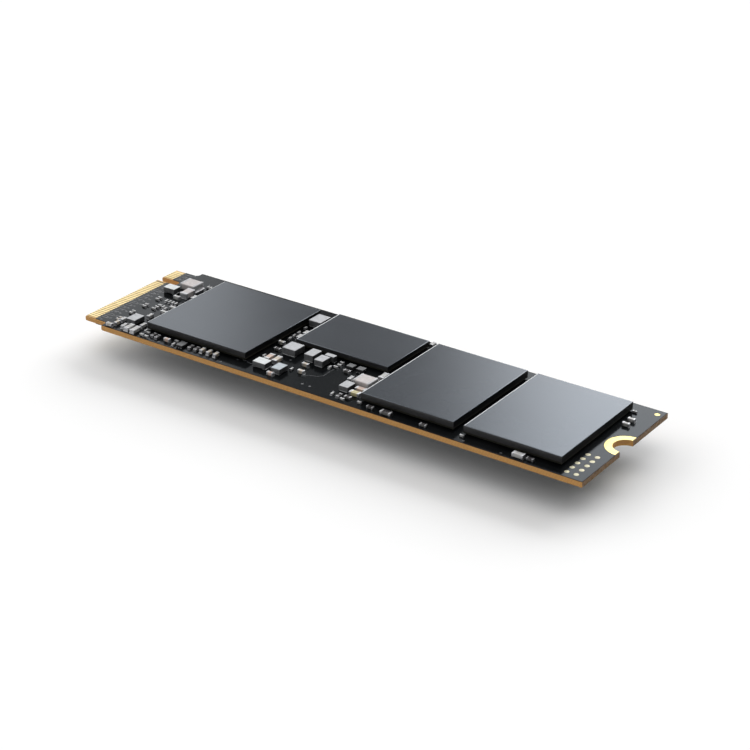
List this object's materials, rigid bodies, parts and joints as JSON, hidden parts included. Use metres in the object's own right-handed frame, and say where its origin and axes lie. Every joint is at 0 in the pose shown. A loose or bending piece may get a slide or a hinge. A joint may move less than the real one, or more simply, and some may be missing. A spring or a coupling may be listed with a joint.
{
  "type": "nvme ssd",
  "caption": "Slim drive card with a keyed gold edge connector, chip packages and small parts on its top face, and a half-round screw notch at its end.",
  "frame": {"origin": "below the centre of the card, on its bottom face", "axes": "+X from the edge connector towards the screw notch, +Y across the card towards the key notch's side, +Z out of the face that carries the parts"},
  "size_m": [0.08, 0.022, 0.0021],
  "materials": {
    "laminate": "woven glass and resin, cut edge, satin",
    "solder_mask": "glossy black lacquer",
    "contact_gold": "plated gold, satin",
    "bare_pad": "plated gold, satin",
    "mould_compound": "moulded resin, fine satin",
    "package_substrate": "laminate edge, matt",
    "solder": "bright solder",
    "inductor_body": "pressed iron powder, satin",
    "terminal_metal": "tin plated, bright",
    "capacitor_ceramic": "fired ceramic, satin",
    "resistor_ceramic": "white alumina, matt",
    "resistor_film": "black glaze"
  },
  "bodies": {
    "root": {"circuit_board": "laminate", "top_solder_mask": "solder_mask", "bottom_solder_mask": "solder_mask", "top_contacts": "contact_gold", "top_key_contacts": "contact_gold", "bottom_contacts": "contact_gold", "bottom_key_contacts": "contact_gold", "top_ground_ring": "bare_pad", "bottom_ground_ring": "bare_pad", "test_pads": "bare_pad", "alignment_mark": "bare_pad", "controller_solder_balls": "solder", "controller_substrate": "package_substrate", "controller_mould_cap": "mould_compound", "memory_solder_balls": "solder", "memory_substrate": "package_substrate", "memory_mould_cap": "mould_compound", "flash_1_solder_balls": "solder", "flash_1_substrate": "package_substrate", "flash_1_mould_cap": "mould_compound", "flash_2_solder_balls": "solder", "flash_2_substrate": "package_substrate", "flash_2_mould_cap": "mould_compound", "memory_inductor": "inductor_body", "core_inductor": "inductor_body", "flash_inductor_1": "inductor_body", "flash_inductor_2": "inductor_body", "flash_inductor_3": "inductor_body", "output_inductor_1": "inductor_body", "output_inductor_2": "inductor_body", "output_inductor_3": "inductor_body", "entry_inductor_1": "inductor_body", "entry_inductor_2": "inductor_body", "inductor_terminals": "terminal_metal", "bulk_capacitor_1": "capacitor_ceramic", "bulk_capacitor_2": "capacitor_ceramic", "bulk_capacitor_ends": "terminal_metal", "regulator_bodies": "mould_compound", "regulator_leads": "terminal_metal", "lane_capacitor_bodies": "capacitor_ceramic", "lane_capacitor_ends": "terminal_metal", "entry_capacitor_bodies": "capacitor_ceramic", "entry_capacitor_ends": "terminal_metal", "edge_capacitor_bodies": "capacitor_ceramic", "edge_capacitor_ends": "terminal_metal", "power_capacitor_bodies": "capacitor_ceramic", "power_capacitor_ends": "terminal_metal", "flash_capacitor_bodies": "capacitor_ceramic", "flash_capacitor_ends": "terminal_metal", "resistor_bodies": "resistor_ceramic", "resistor_films": "resistor_film", "resistor_ends": "terminal_metal"}
  },
  "joints": []
}
